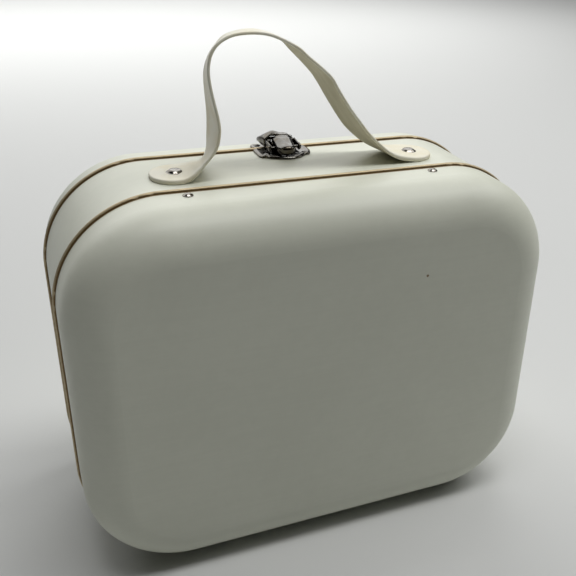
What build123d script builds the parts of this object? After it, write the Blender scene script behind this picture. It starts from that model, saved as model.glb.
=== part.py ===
from build123d import *
import os

os.makedirs("parts", exist_ok=True)

# A pressed-steel storage case. X runs along its width, Z up, and its front face looks
# towards -Y. The origin is the middle of the footprint, on the surface that it stands on.

# Case, outside the sheet
width = 240.0
height = 186.4
corner_radius = 49.4
front_depth = 36.0
band_width = 48.3
lid_depth = 29.3
pillow_radius = 20.0
sheet = 0.8
parting_gap = 0.4

# Curled rims of the two shells. The root is how deep the curl sits in the sheet.
bead_radius = 1.0
bead_root_clearance = 0.05
bead_setback = 0.1

# Band: the front flange nests in the front shell, the rear lip guides the lid and stops
# short of the rivets that are clinched inside it
flange_reach = 13.0
lip_clearance = 0.8
joggle = 2.0
nest_gap = 0.1
lip_gap = 0.4

# How far a cutting shape runs past what it cuts
overshoot = 1.0

# Small rivets of the front shell
shell_rivet_x = 60.0
shell_rivet_setback = 7.2
shell_rivet_head_radius = 2.4
shell_rivet_head_height = 1.0
shell_rivet_shank_radius = 1.2
clinch_radius = 2.0
clinch_height = 0.7

# Dished rivet heads: the ring's share of the radius, and the share of the rise under the hollow
dish_ring_share = 0.27
dish_foot_share = 0.3

# Strap handle
strap_width = 25.0
strap_thickness = 2.6
strap_y = -1.5
tab_tip_x = 72.4
tab_corner_radius = 12.0
handle_rivet_x = 60.0
handle_cap_radius = 4.15
handle_cap_height = 1.3
handle_shank_radius = 2.0
handle_washer_radius = 5.5
handle_washer_thickness = 0.8
handle_clinch_radius = 3.2
handle_clinch_height = 1.0

# Corners of the strap's centre line between the tabs, as (x, height over the band),
# and the bend radius at each
arch_corners = [(-44.2, 0.0), (-42.3, 56.7), (-33.0, 62.0), (-19.0, 62.7), (-3.0, 55.0),
                (14.0, 37.5), (27.0, 17.2), (37.0, 8.2), (49.0, 0.0)]
arch_radii = [11.0, 9.0, 18.0, 24.0, 45.0, 90.0, 40.0, 60.0, 20.0]

# Draw latch. Its own coordinates are u, behind the parting line, and h, over the band.
latch_sheet = 0.9
latch_running_gap = 0.25
base_front_u = -20.6
base_rear_u = -0.8
base_disc_half_width = 11.4
base_disc_half_length = 13.0
lobe_x = 10.2
lobe_u = -11.2
lobe_radius = 4.2
wing_rear_u = -2.4
wing_corner_radius = 2.5
latch_rivet_head_radius = 1.9
latch_rivet_head_height = 0.7
latch_rivet_shank_radius = 1.0
latch_clinch_radius = 1.7
latch_clinch_height = 0.6
pivot_u = -3.6
pivot_h = 3.6
pivot_pin_radius = 0.8
pin_head_radius = 1.35
pin_head_height = 0.4
pin_running_gap = 0.04
ear_radius = 1.6
cheek_end_radius = 2.0
ear_inner_x = 2.8
hook_pin_u = -8.6
hook_pin_h = 3.3
hook_pin_radius = 0.7
lever_cheek_foot_h = 1.6
lever_cheek_front_u = -11.2
lever_toe_length = 0.6
lever_toe_rise = 0.8
lever_rear_u = -2.8
lever_rear_h = 5.85
lever_nose_u = -18.3
lever_nose_h = 5.7
lever_nose_length = 2.6
lever_tip_lean = 0.5
lever_tip_h = 1.9
lever_curl_radius = 2.6
lever_shoulder_length = 2.0
tongue_half_width = 4.2
arm_inner_x = 7.2
arm_end_radius = 2.0
arm_overlap = 0.4
lip_half_width = 3.0
lip_foot_h = 2.95

# Sections of the draw hook's roof, each as (u, foot height, flare outside the arms,
# eaves height, ridge half width, ridge height)
roof_front = (-4.6, 1.9, 0.0, 6.3, 4.0, 8.0)
roof_peak = (-0.6, 1.9, 0.2, 6.6, 3.8, 9.1)
roof_rear = (6.2, 3.1, 1.0, 4.2, 5.6, 5.1)

# Shares of the sheet by which the roof's hollow drops at the eaves and narrows at the ridge
eaves_share = 0.4
ridge_share = 0.3

# Catch on the lid
catch_sheet = 0.8
catch_lobe_x = 10.2
catch_lobe_radius = 3.3
catch_clearance = 0.3
catch_length = 5.8
catch_hook_half_width = 2.4
catch_hook_h = 2.5
catch_hook_tip = 0.9
catch_hook_lean = 1.1

# Hinges under the rear edge
hinge_x = 62.0
hinge_width = 26.0
hinge_mid_knuckle = 8.8
hinge_knuckle_gap = 0.2
hinge_axis_z = 1.1
barrel_radius = 1.0
hinge_pin_radius = 0.5
hinge_pin_gap = 0.03
hinge_pin_head_radius = 0.9
hinge_pin_head_height = 0.4
leaf_length = 11.0
leaf_thickness = 0.6
leaf_root = 0.5
notch_clearance = 0.25
hinge_rivet_spacing = 15.0
hinge_rivet_reach = 6.8
hinge_rivet_head_radius = 1.8
hinge_rivet_head_height = 0.45
hinge_rivet_shank_radius = 1.0
hinge_clinch_radius = 1.7
hinge_clinch_height = 0.6

# Places that follow from those sizes
bead_lift = bead_radius - sheet + bead_root_clearance
bead_proud = bead_radius + bead_lift
catch_front_u = parting_gap / 2 + bead_setback + 2 * bead_radius + catch_clearance
catch_rear_u = catch_front_u + catch_length
catch_lobe_u = catch_front_u + catch_lobe_radius
total_depth = front_depth + band_width + parting_gap + lid_depth
front_face_y = -total_depth / 2
front_rim_y = front_face_y + front_depth
band_rear_y = front_rim_y + band_width
parting_y = band_rear_y + parting_gap / 2
lid_rim_y = band_rear_y + parting_gap
back_face_y = total_depth / 2
bottom_z = bead_proud
mid_z = bottom_z + height / 2
top_z = bottom_z + height
flange_inset = sheet + nest_gap
lip_inset = sheet + lip_gap
lid_clinch_u = min(catch_lobe_u - latch_clinch_radius, hinge_rivet_reach - hinge_clinch_radius)
lip_end_y = parting_y + lid_clinch_u - lip_clearance


def station(y):
    """Upright plane across the case at y. Extruding goes towards the front."""
    return Plane(origin=(0, y, mid_z), x_dir=(1, 0, 0), z_dir=(0, -1, 0))


def level(z):
    """Level plane at z. Extruding goes up."""
    return Plane(origin=(0, 0, z), x_dir=(1, 0, 0), z_dir=(0, 0, 1))


def side(x):
    """Upright plane along the case at x, drawn in y and z. Extruding goes towards +X."""
    return Plane(origin=(x, 0, 0), x_dir=(0, 1, 0), z_dir=(1, 0, 0))


def outline(inset, mode=Mode.ADD):
    """The case's rounded outline, drawn in by inset."""
    RectangleRounded(width - 2 * inset, height - 2 * inset, corner_radius - inset, mode=mode)


def hoop(y_front, y_back, outer_inset, inner_inset):
    """A hoop that follows the case's outline from y_front to y_back."""
    with BuildSketch(station(y_back)) as section:
        outline(outer_inset)
        outline(inner_inset, Mode.SUBTRACT)
    extrude(section.sketch, amount=y_back - y_front)


def rim_bead(y_centre):
    """The curl that runs round a shell's rim."""
    with BuildSketch(station(y_centre)) as loop:
        outline(-bead_lift)
    path = loop.sketch.wires()[0]
    with BuildSketch(Plane(origin=path @ 0, z_dir=path % 0)) as section:
        Circle(bead_radius)
    sweep(section.sketch, path=path)


def disc(x, y, z_from, z_to, radius, mode=Mode.ADD):
    """An upright round stub between two heights."""
    with BuildSketch(level(min(z_from, z_to))) as section:
        with Locations((x, y)):
            Circle(radius)
    extrude(section.sketch, amount=abs(z_to - z_from), mode=mode)


def dome(x, y, z_base, radius, rise):
    """A shallow domed head. A negative rise points down."""
    ball_radius = (radius ** 2 + rise ** 2) / (2 * abs(rise))
    direction = 1 if rise > 0 else -1
    with BuildSketch(Plane(origin=(x, y, z_base), x_dir=(1, 0, 0), z_dir=(0, -1, 0))) as section:
        with BuildLine():
            Line((0, 0), (radius, 0))
            RadiusArc((radius, 0), (0, rise), -direction * ball_radius)
            Line((0, rise), (0, 0))
        make_face()
    revolve(section.sketch, axis=Axis((x, y, z_base), (0, 0, 1)))


def dished_head(x, y, z_base, radius, rise):
    """A head with a half-round ring about a hollow middle. A negative rise points down."""
    ring = radius * dish_ring_share
    wall = abs(rise) - ring / 2
    foot = abs(rise) * dish_foot_share
    hollow = radius - ring
    ball = (hollow ** 2 + (wall - foot) ** 2) / (2 * (wall - foot))
    half_way = foot + ball - (ball ** 2 - hollow ** 2 / 4) ** 0.5
    with BuildSketch(Plane(origin=(x, y, z_base), x_dir=(1, 0, 0),
                           z_dir=(0, -1 if rise > 0 else 1, 0))) as section:
        with BuildLine():
            Polyline((0, foot), (0, 0), (radius, 0), (radius, wall))
            ThreePointArc((radius, wall), (radius - ring / 2, abs(rise)), (hollow, wall))
            ThreePointArc((hollow, wall), (hollow / 2, half_way), (0, foot))
        make_face()
    revolve(section.sketch, axis=Axis((x, y, z_base), (0, 0, 1)))


def cross_pin(x_from, x_to, y, z, radius, mode=Mode.ADD):
    """A round bar along X."""
    with BuildSketch(side(x_from)) as section:
        with Locations((y, z)):
            Circle(radius)
    extrude(section.sketch, amount=x_to - x_from, mode=mode)


def block(low, high, mode=Mode.ADD):
    """A box between two corners."""
    centre = [(a + b) / 2 for a, b in zip(low, high)]
    with Locations(tuple(centre)):
        Box(high[0] - low[0], high[1] - low[1], high[2] - low[2], mode=mode)


def finish(builder, label):
    """Name a finished piece and write it."""
    builder.part.label = label
    export_step(builder.part, "parts/" + label + ".step")


def latch_place(u, h):
    """Latch coordinates to y and z."""
    return (parting_y + u, top_z + h)


hinge_places = {"left": -hinge_x, "right": hinge_x}
notch_half_width = hinge_width / 2 + hinge_pin_head_height + notch_clearance
notch_reach = barrel_radius + notch_clearance
notch_top_z = hinge_axis_z + barrel_radius + notch_clearance

# Front shell
with BuildPart() as front_shell:
    with BuildSketch(station(front_rim_y)):
        outline(0)
    extrude(amount=front_depth)
    fillet(front_shell.edges().group_by(Axis.Y)[0], radius=pillow_radius)
    offset(amount=-sheet, openings=front_shell.faces().sort_by(Axis.Y)[-1])
    rim_bead(front_rim_y - bead_setback - bead_radius)
    for x in (-shell_rivet_x, shell_rivet_x):
        for z in (bottom_z, top_z):
            disc(x, front_rim_y - shell_rivet_setback, z - 2 * flange_inset, z + 2 * flange_inset,
                 shell_rivet_shank_radius, Mode.SUBTRACT)
finish(front_shell, "front_shell")

# Lid shell, notched at its bottom edge for the hinge barrels and leaves
with BuildPart() as lid_shell:
    with BuildSketch(station(back_face_y)):
        outline(0)
    extrude(amount=lid_depth)
    fillet(lid_shell.edges().group_by(Axis.Y)[-1], radius=pillow_radius)
    offset(amount=-sheet, openings=lid_shell.faces().sort_by(Axis.Y)[0])
    rim_bead(lid_rim_y + bead_setback + bead_radius)
    for x in hinge_places.values():
        block((x - notch_half_width, lid_rim_y - overshoot, -overshoot),
              (x + notch_half_width, parting_y + notch_reach, notch_top_z), Mode.SUBTRACT)
        block((x - notch_half_width, lid_rim_y - overshoot, -overshoot),
              (x + notch_half_width, lid_rim_y + 2 * bead_radius + 2 * bead_setback, bottom_z),
              Mode.SUBTRACT)
        for dx in (-hinge_rivet_spacing / 2, hinge_rivet_spacing / 2):
            disc(x + dx, parting_y + hinge_rivet_reach, bottom_z - 2 * sheet, bottom_z + 2 * sheet,
                 hinge_rivet_shank_radius, Mode.SUBTRACT)
    for x in (-catch_lobe_x, catch_lobe_x):
        disc(x, parting_y + catch_lobe_u, top_z - 2 * sheet, top_z + 2 * sheet,
             latch_rivet_shank_radius, Mode.SUBTRACT)
finish(lid_shell, "lid_shell")

# Body band
with BuildPart() as body_band:
    hoop(front_rim_y, band_rear_y, 0, sheet)
    hoop(front_rim_y - flange_reach, front_rim_y + joggle, flange_inset, flange_inset + sheet)
    hoop(front_rim_y, front_rim_y + joggle, sheet / 2, flange_inset + sheet)
    hoop(band_rear_y - joggle, lip_end_y, lip_inset, lip_inset + sheet)
    hoop(band_rear_y - joggle, band_rear_y, sheet / 2, lip_inset + sheet)
    for x in hinge_places.values():
        block((x - notch_half_width, parting_y - notch_reach, -overshoot),
              (x + notch_half_width, band_rear_y + overshoot, notch_top_z), Mode.SUBTRACT)
        for dx in (-hinge_rivet_spacing / 2, hinge_rivet_spacing / 2):
            disc(x + dx, parting_y - hinge_rivet_reach, bottom_z - 2 * sheet, bottom_z + 2 * sheet,
                 hinge_rivet_shank_radius, Mode.SUBTRACT)
    for x in (-shell_rivet_x, shell_rivet_x):
        for z in (bottom_z, top_z):
            disc(x, front_rim_y - shell_rivet_setback, z - 4 * sheet, z + 4 * sheet,
                 shell_rivet_shank_radius, Mode.SUBTRACT)
    for x in (-handle_rivet_x, handle_rivet_x):
        disc(x, strap_y, top_z - 2 * sheet, top_z + 2 * sheet, handle_shank_radius, Mode.SUBTRACT)
    for x in (-lobe_x, lobe_x):
        disc(x, parting_y + lobe_u, top_z - 2 * sheet, top_z + 2 * sheet,
             latch_rivet_shank_radius, Mode.SUBTRACT)
finish(body_band, "body_band")

# Rivets of the front shell: domed outside, clinched inside the flange
with BuildPart() as shell_rivets:
    rivet_y = front_rim_y - shell_rivet_setback
    clinch_inset = flange_inset + sheet
    for x in (-shell_rivet_x, shell_rivet_x):
        dished_head(x, rivet_y, top_z, shell_rivet_head_radius, shell_rivet_head_height)
        disc(x, rivet_y, top_z, top_z - clinch_inset, shell_rivet_shank_radius)
        disc(x, rivet_y, top_z - clinch_inset, top_z - clinch_inset - clinch_height, clinch_radius)
        dished_head(x, rivet_y, bottom_z, shell_rivet_head_radius, -shell_rivet_head_height)
        disc(x, rivet_y, bottom_z, bottom_z + clinch_inset, shell_rivet_shank_radius)
        disc(x, rivet_y, bottom_z + clinch_inset, bottom_z + clinch_inset + clinch_height,
             clinch_radius)
finish(shell_rivets, "shell_rivets")

# Strap handle: a flat strap that arches between two rounded tabs
strap_mid_z = top_z + strap_thickness / 2
with BuildPart() as handle_strap:
    with BuildSketch(Plane(origin=(0, strap_y + strap_width / 2, strap_mid_z),
                           x_dir=(1, 0, 0), z_dir=(0, -1, 0))):
        with BuildLine() as centre_line:
            FilletPolyline((-tab_tip_x, 0), *arch_corners, (tab_tip_x, 0), radius=arch_radii)
        trace(centre_line.line, line_width=strap_thickness)
    extrude(amount=strap_width)
    with BuildSketch(level(top_z - overshoot)) as plan:
        with Locations((0, strap_y)):
            RectangleRounded(2 * tab_tip_x, strap_width, tab_corner_radius)
    extrude(plan.sketch, amount=height, mode=Mode.INTERSECT)
    for x in (-handle_rivet_x, handle_rivet_x):
        disc(x, strap_y, top_z - overshoot, top_z + strap_thickness + overshoot,
             handle_shank_radius, Mode.SUBTRACT)
finish(handle_strap, "handle_strap")

# Handle rivets with domed caps, and their washers inside the band
washer_top_z = top_z - sheet
washer_foot_z = washer_top_z - handle_washer_thickness
with BuildPart() as handle_rivets:
    for x in (-handle_rivet_x, handle_rivet_x):
        dished_head(x, strap_y, top_z + strap_thickness, handle_cap_radius, handle_cap_height)
        disc(x, strap_y, top_z + strap_thickness, washer_foot_z, handle_shank_radius)
        disc(x, strap_y, washer_foot_z, washer_foot_z - handle_clinch_height, handle_clinch_radius)
finish(handle_rivets, "handle_rivets")

with BuildPart() as handle_washers:
    for x in (-handle_rivet_x, handle_rivet_x):
        disc(x, strap_y, washer_foot_z, washer_top_z, handle_washer_radius)
        disc(x, strap_y, washer_foot_z, washer_top_z, handle_shank_radius, Mode.SUBTRACT)
finish(handle_washers, "handle_washers")

# Latch base: bowed plate with two lobed wings, and two upright ears for the pivot pin
pivot_y, pivot_z = latch_place(pivot_u, pivot_h)
hook_pin_y, hook_pin_z = latch_place(hook_pin_u, hook_pin_h)
lobe_y = parting_y + lobe_u
wing_x = lobe_x + lobe_radius
wing_length = wing_rear_u - lobe_u + wing_corner_radius
base_top_z = top_z + latch_sheet
ear_outer_x = ear_inner_x + latch_sheet
cheek_inner_x = ear_outer_x + latch_running_gap
cheek_outer_x = cheek_inner_x + latch_sheet
with BuildPart() as latch_base_plate:
    with BuildSketch(level(top_z)):
        with Locations((0, parting_y + base_front_u + base_disc_half_length)):
            Ellipse(base_disc_half_width, base_disc_half_length)
        with Locations((-lobe_x, lobe_y), (lobe_x, lobe_y)):
            Circle(lobe_radius)
        with Locations((0, parting_y + wing_rear_u - wing_length / 2)):
            RectangleRounded(2 * wing_x, wing_length, wing_corner_radius)
        with Locations((0, parting_y + base_rear_u)):
            Rectangle(width, height, align=(Align.CENTER, Align.MIN), mode=Mode.SUBTRACT)
        with Locations((-lobe_x, lobe_y), (lobe_x, lobe_y)):
            Circle(latch_rivet_shank_radius, mode=Mode.SUBTRACT)
    extrude(amount=latch_sheet)
    for x in (-ear_outer_x, ear_inner_x):
        with BuildSketch(side(x)) as ear:
            with Locations((pivot_y, pivot_z)):
                Circle(ear_radius)
            with Locations((pivot_y, (pivot_z + base_top_z - latch_sheet / 2) / 2)):
                Rectangle(2 * ear_radius, pivot_z - base_top_z + latch_sheet / 2)
            with Locations((pivot_y, pivot_z)):
                Circle(pivot_pin_radius + pin_running_gap, mode=Mode.SUBTRACT)
        extrude(ear.sketch, amount=latch_sheet)
finish(latch_base_plate, "latch_base_plate")

with BuildPart() as latch_base_rivets:
    for x in (-lobe_x, lobe_x):
        dome(x, lobe_y, base_top_z, latch_rivet_head_radius, latch_rivet_head_height)
        disc(x, lobe_y, base_top_z, top_z - sheet, latch_rivet_shank_radius)
        disc(x, lobe_y, top_z - sheet, top_z - sheet - latch_clinch_height, latch_clinch_radius)
finish(latch_base_rivets, "latch_base_rivets")

# Pivot pin through the ears and the lever's cheeks, headed at both ends
pivot_pin_half = cheek_outer_x + pin_running_gap
with BuildPart() as latch_pivot_pin:
    cross_pin(-pivot_pin_half, pivot_pin_half, pivot_y, pivot_z, pivot_pin_radius)
    cross_pin(pivot_pin_half, pivot_pin_half + pin_head_height, pivot_y, pivot_z, pin_head_radius)
    cross_pin(-pivot_pin_half - pin_head_height, -pivot_pin_half, pivot_y, pivot_z, pin_head_radius)
finish(latch_pivot_pin, "latch_pivot_pin")

# Latch lever: a channel whose top runs forward into a rounded, curled nose
shoulder_y = parting_y + lever_cheek_front_u - lever_shoulder_length
cheek_front_y = parting_y + lever_cheek_front_u
lever_rear_y = parting_y + lever_rear_u + overshoot
nose_root_y = parting_y + lever_nose_u + lever_nose_length
nose_tip_y = parting_y + lever_nose_u - latch_sheet
with BuildPart() as latch_lever:
    with BuildSketch(side(-cheek_outer_x)) as top_strip:
        with BuildLine() as strip_line:
            FilletPolyline(latch_place(lever_nose_u - lever_tip_lean, lever_tip_h),
                           latch_place(lever_nose_u, lever_nose_h),
                           latch_place(lever_rear_u, lever_rear_h), radius=lever_curl_radius)
        trace(strip_line.line, line_width=latch_sheet)
    extrude(top_strip.sketch, amount=2 * cheek_outer_x)
    with BuildSketch(level(top_z)) as plan:
        with BuildLine():
            Polyline((-tongue_half_width, nose_root_y), (-tongue_half_width, shoulder_y),
                     (-cheek_outer_x, cheek_front_y), (-cheek_outer_x, lever_rear_y),
                     (cheek_outer_x, lever_rear_y), (cheek_outer_x, cheek_front_y),
                     (tongue_half_width, shoulder_y), (tongue_half_width, nose_root_y))
            ThreePointArc((-tongue_half_width, nose_root_y), (0, nose_tip_y),
                          (tongue_half_width, nose_root_y))
        make_face()
    extrude(plan.sketch, amount=height, mode=Mode.INTERSECT)
    for x in (-cheek_outer_x, cheek_inner_x):
        with BuildSketch(side(x)) as cheek:
            with BuildLine():
                Polyline(latch_place(lever_cheek_front_u, lever_nose_h),
                         latch_place(lever_cheek_front_u + lever_toe_length,
                                     lever_cheek_foot_h + lever_toe_rise),
                         latch_place(hook_pin_u, lever_cheek_foot_h),
                         latch_place(pivot_u, lever_cheek_foot_h),
                         latch_place(pivot_u + cheek_end_radius, pivot_h),
                         latch_place(lever_rear_u, lever_rear_h),
                         close=True)
            make_face()
            with Locations((pivot_y, pivot_z), (hook_pin_y, hook_pin_z)):
                Circle(cheek_end_radius)
            with Locations((pivot_y, pivot_z)):
                Circle(pivot_pin_radius + pin_running_gap, mode=Mode.SUBTRACT)
            with Locations((hook_pin_y, hook_pin_z)):
                Circle(hook_pin_radius + pin_running_gap, mode=Mode.SUBTRACT)
        extrude(cheek.sketch, amount=latch_sheet)
finish(latch_lever, "latch_lever")

# Draw hook: two arms outside the lever, joined by a roof that reaches over the catch
arm_outer_x = arm_inner_x + latch_sheet
hook_pin_half = arm_outer_x + pin_running_gap
with BuildPart() as latch_hook_pin:
    cross_pin(-hook_pin_half, hook_pin_half, hook_pin_y, hook_pin_z, hook_pin_radius)
    cross_pin(hook_pin_half, hook_pin_half + pin_head_height, hook_pin_y, hook_pin_z,
              pin_head_radius)
    cross_pin(-hook_pin_half - pin_head_height, -hook_pin_half, hook_pin_y, hook_pin_z,
              pin_head_radius)
finish(latch_hook_pin, "latch_hook_pin")


def roof_section(section, wall, foot_drop):
    """One cross-section of the roof, drawn in by the wall thickness."""
    u, foot_h, flare, eaves_h, ridge_x, ridge_h = section
    eaves_x = arm_outer_x + flare - wall
    plane = Plane(origin=(0, parting_y + u, top_z), x_dir=(1, 0, 0), z_dir=(0, -1, 0))
    right = [(eaves_x, foot_h - foot_drop), (eaves_x, eaves_h - eaves_share * wall),
             (ridge_x - ridge_share * wall, ridge_h - wall)]
    with BuildSketch(plane) as sketch:
        with BuildLine():
            Polyline(*right, *[(-x, h) for x, h in reversed(right)], close=True)
        make_face()
    return sketch.sketch.faces()[0]


with BuildPart() as latch_draw_hook:
    loft([roof_section(s, 0, 0) for s in (roof_front, roof_peak)], ruled=True)
    loft([roof_section(s, 0, 0) for s in (roof_peak, roof_rear)], ruled=True)
    loft([roof_section(s, latch_sheet, overshoot) for s in (roof_front, roof_peak)], ruled=True,
         mode=Mode.SUBTRACT)
    loft([roof_section(s, latch_sheet, overshoot) for s in (roof_peak, roof_rear)], ruled=True,
         mode=Mode.SUBTRACT)
    for x in (-arm_outer_x, arm_inner_x):
        with BuildSketch(side(x)) as arm:
            with BuildLine():
                Polyline(latch_place(hook_pin_u, hook_pin_h - arm_end_radius),
                         latch_place(roof_front[0] + arm_overlap, roof_front[1]),
                         latch_place(roof_front[0] + arm_overlap, roof_front[3]),
                         latch_place(hook_pin_u, hook_pin_h + arm_end_radius),
                         close=True)
            make_face()
            with Locations((hook_pin_y, hook_pin_z)):
                Circle(arm_end_radius)
                Circle(hook_pin_radius + pin_running_gap, mode=Mode.SUBTRACT)
        extrude(arm.sketch, amount=latch_sheet)
    lip_y, lip_top_z = latch_place(roof_rear[0], roof_rear[5] - latch_sheet / 2)
    block((-lip_half_width, lip_y - latch_sheet, top_z + lip_foot_h),
          (lip_half_width, lip_y, lip_top_z))
finish(latch_draw_hook, "latch_draw_hook")

# Catch: eared plate on the lid with an upright hook
with BuildPart() as catch_plate:
    with BuildSketch(level(top_z)):
        with Locations((0, parting_y + (catch_front_u + catch_rear_u) / 2)):
            Rectangle(2 * catch_lobe_x, catch_rear_u - catch_front_u)
        with Locations((-catch_lobe_x, parting_y + catch_lobe_u),
                       (catch_lobe_x, parting_y + catch_lobe_u)):
            Circle(catch_lobe_radius)
        with Locations((-catch_lobe_x, parting_y + catch_lobe_u),
                       (catch_lobe_x, parting_y + catch_lobe_u)):
            Circle(latch_rivet_shank_radius, mode=Mode.SUBTRACT)
    extrude(amount=catch_sheet)
    with BuildSketch(side(-catch_hook_half_width)) as hook:
        with BuildLine() as hook_line:
            hook_u = catch_front_u + catch_sheet / 2
            Polyline(latch_place(hook_u, catch_sheet / 2),
                     latch_place(hook_u, catch_hook_h - catch_hook_tip),
                     latch_place(hook_u + catch_hook_lean, catch_hook_h - catch_sheet / 2))
        trace(hook_line.line, line_width=catch_sheet)
    extrude(hook.sketch, amount=2 * catch_hook_half_width)
finish(catch_plate, "catch_plate")

with BuildPart() as catch_rivets:
    for x in (-catch_lobe_x, catch_lobe_x):
        catch_y = parting_y + catch_lobe_u
        dome(x, catch_y, top_z + catch_sheet, latch_rivet_head_radius, latch_rivet_head_height)
        disc(x, catch_y, top_z + catch_sheet, top_z - sheet, latch_rivet_shank_radius)
        disc(x, catch_y, top_z - sheet, top_z - sheet - latch_clinch_height, latch_clinch_radius)
finish(catch_rivets, "catch_rivets")

# Hinges. The case leaf has the two outer knuckles, the lid leaf the middle one.
leaf_top_z = bottom_z
leaf_foot_z = bottom_z - leaf_thickness
mid_half = hinge_mid_knuckle / 2
outer_from = mid_half + hinge_knuckle_gap
outer_to = hinge_width / 2


def leaf(x, direction, knuckles):
    """One hinge leaf with its knuckles, at x, reaching from the axis in +Y or -Y."""
    near = parting_y + direction * notch_reach
    far = parting_y + direction * leaf_length
    block((x - hinge_width / 2, min(near, far), leaf_foot_z),
          (x + hinge_width / 2, max(near, far), leaf_top_z))
    for start, end in knuckles:
        cross_pin(x + start, x + end, parting_y, hinge_axis_z, barrel_radius)
        root = parting_y + direction * (notch_reach + leaf_root)
        block((x + start, min(parting_y, root), leaf_foot_z),
              (x + end, max(parting_y, root), leaf_top_z))
    cross_pin(x - hinge_width, x + hinge_width, parting_y, hinge_axis_z,
              hinge_pin_radius + hinge_pin_gap, Mode.SUBTRACT)
    for dx in (-hinge_rivet_spacing / 2, hinge_rivet_spacing / 2):
        disc(x + dx, parting_y + direction * hinge_rivet_reach, leaf_foot_z - overshoot,
             leaf_top_z + overshoot, hinge_rivet_shank_radius, Mode.SUBTRACT)


def hinge_rivet(x, y):
    """A hinge rivet: low head under the leaf, clinched inside the sheet."""
    dome(x, y, leaf_foot_z, hinge_rivet_head_radius, -hinge_rivet_head_height)
    disc(x, y, leaf_foot_z, bottom_z + sheet, hinge_rivet_shank_radius)
    disc(x, y, bottom_z + sheet, bottom_z + sheet + hinge_clinch_height, hinge_clinch_radius)


for hand, x in hinge_places.items():
    with BuildPart() as case_leaf:
        leaf(x, -1, [(-outer_to, -outer_from), (outer_from, outer_to)])
    finish(case_leaf, "hinge_" + hand + "_case_leaf")

    with BuildPart() as lid_leaf:
        leaf(x, 1, [(-mid_half, mid_half)])
    finish(lid_leaf, "hinge_" + hand + "_lid_leaf")

    with BuildPart() as hinge_pin:
        cross_pin(x - outer_to, x + outer_to, parting_y, hinge_axis_z, hinge_pin_radius)
        cross_pin(x - outer_to - hinge_pin_head_height, x - outer_to, parting_y, hinge_axis_z,
                  hinge_pin_head_radius)
        cross_pin(x + outer_to, x + outer_to + hinge_pin_head_height, parting_y, hinge_axis_z,
                  hinge_pin_head_radius)
    finish(hinge_pin, "hinge_" + hand + "_pin")

with BuildPart() as case_hinge_rivets:
    for x in hinge_places.values():
        for dx in (-hinge_rivet_spacing / 2, hinge_rivet_spacing / 2):
            hinge_rivet(x + dx, parting_y - hinge_rivet_reach)
finish(case_hinge_rivets, "case_hinge_rivets")

with BuildPart() as lid_hinge_rivets:
    for x in hinge_places.values():
        for dx in (-hinge_rivet_spacing / 2, hinge_rivet_spacing / 2):
            hinge_rivet(x + dx, parting_y + hinge_rivet_reach)
finish(lid_hinge_rivets, "lid_hinge_rivets")
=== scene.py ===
"""Looks of a pressed-steel storage case: painted shells with gold curled rims, a cream strap
handle on two rivets, and an aged nickel draw latch over the parting line."""

import math

import bmesh
import bpy
import numpy as np
from mathutils import Matrix, Vector


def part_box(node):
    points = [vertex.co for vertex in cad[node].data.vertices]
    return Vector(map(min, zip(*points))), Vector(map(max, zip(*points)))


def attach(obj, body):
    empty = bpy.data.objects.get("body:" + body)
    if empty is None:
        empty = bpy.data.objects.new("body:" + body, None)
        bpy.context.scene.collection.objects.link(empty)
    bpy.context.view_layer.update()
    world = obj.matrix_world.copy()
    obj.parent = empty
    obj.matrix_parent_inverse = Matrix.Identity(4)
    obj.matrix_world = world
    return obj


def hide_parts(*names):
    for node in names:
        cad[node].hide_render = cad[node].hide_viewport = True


bl_info = {
    "name": "Metal Storage Box",
    "version": (1, 0, 0),
    "blender": (4, 5, 0),
    "location": "View3D > Sidebar > Storage Box",
    "description": "Finishes, strap, latch and studio of a pressed-steel storage case",
    "category": "Object",
}

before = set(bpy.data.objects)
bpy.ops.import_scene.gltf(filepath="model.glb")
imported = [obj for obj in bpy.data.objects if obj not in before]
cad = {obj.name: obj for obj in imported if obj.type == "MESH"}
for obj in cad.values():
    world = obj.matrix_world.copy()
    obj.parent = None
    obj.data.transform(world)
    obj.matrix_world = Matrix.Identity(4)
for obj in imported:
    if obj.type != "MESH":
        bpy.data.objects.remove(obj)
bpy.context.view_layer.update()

MM = 0.001

# Places read from the frame, in millimetres
band_low, band_high = (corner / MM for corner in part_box("body_band"))
front_low, front_high = (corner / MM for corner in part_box("front_shell"))
lid_low, lid_high = (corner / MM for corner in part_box("lid_shell"))
strap_low, strap_high = (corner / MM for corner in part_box("handle_strap"))
cap_low, cap_high = (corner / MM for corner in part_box("handle_rivets"))
half_width = band_high.x
half_height = (band_high.z - band_low.z) / 2
mid_z = (band_high.z + band_low.z) / 2
top_z = band_high.z
front_rim_y = front_high.y
lid_rim_y = lid_low.y
strap_mid_y = (strap_low.y + strap_high.y) / 2
cap_radius = (cap_high.y - cap_low.y) / 2
handle_rivet_x = cap_high.x - cap_radius
shell_rivet_low, shell_rivet_high = (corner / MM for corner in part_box("shell_rivets"))
shell_rivet_y = (shell_rivet_low.y + shell_rivet_high.y) / 2
shell_rivet_x = shell_rivet_high.x - (shell_rivet_high.y - shell_rivet_low.y) / 2

# Latch places, as u behind the parting line and h over the band
parting_y = (band_high.y + lid_low.y) / 2
pivot_low, pivot_high = (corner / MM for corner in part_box("latch_pivot_pin"))
hook_pin_low, hook_pin_high = (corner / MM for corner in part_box("latch_hook_pin"))
pivot_u = (pivot_low.y + pivot_high.y) / 2 - parting_y
pivot_h = (pivot_low.z + pivot_high.z) / 2 - top_z
hook_pin_u = (hook_pin_low.y + hook_pin_high.y) / 2 - parting_y
hook_pin_h = (hook_pin_low.z + hook_pin_high.z) / 2 - top_z

# Thickness of the latch's sheet, and how near to its edges it is rounded
LATCH_SHEET = 0.9
LATCH_EDGE = 0.4

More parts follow.
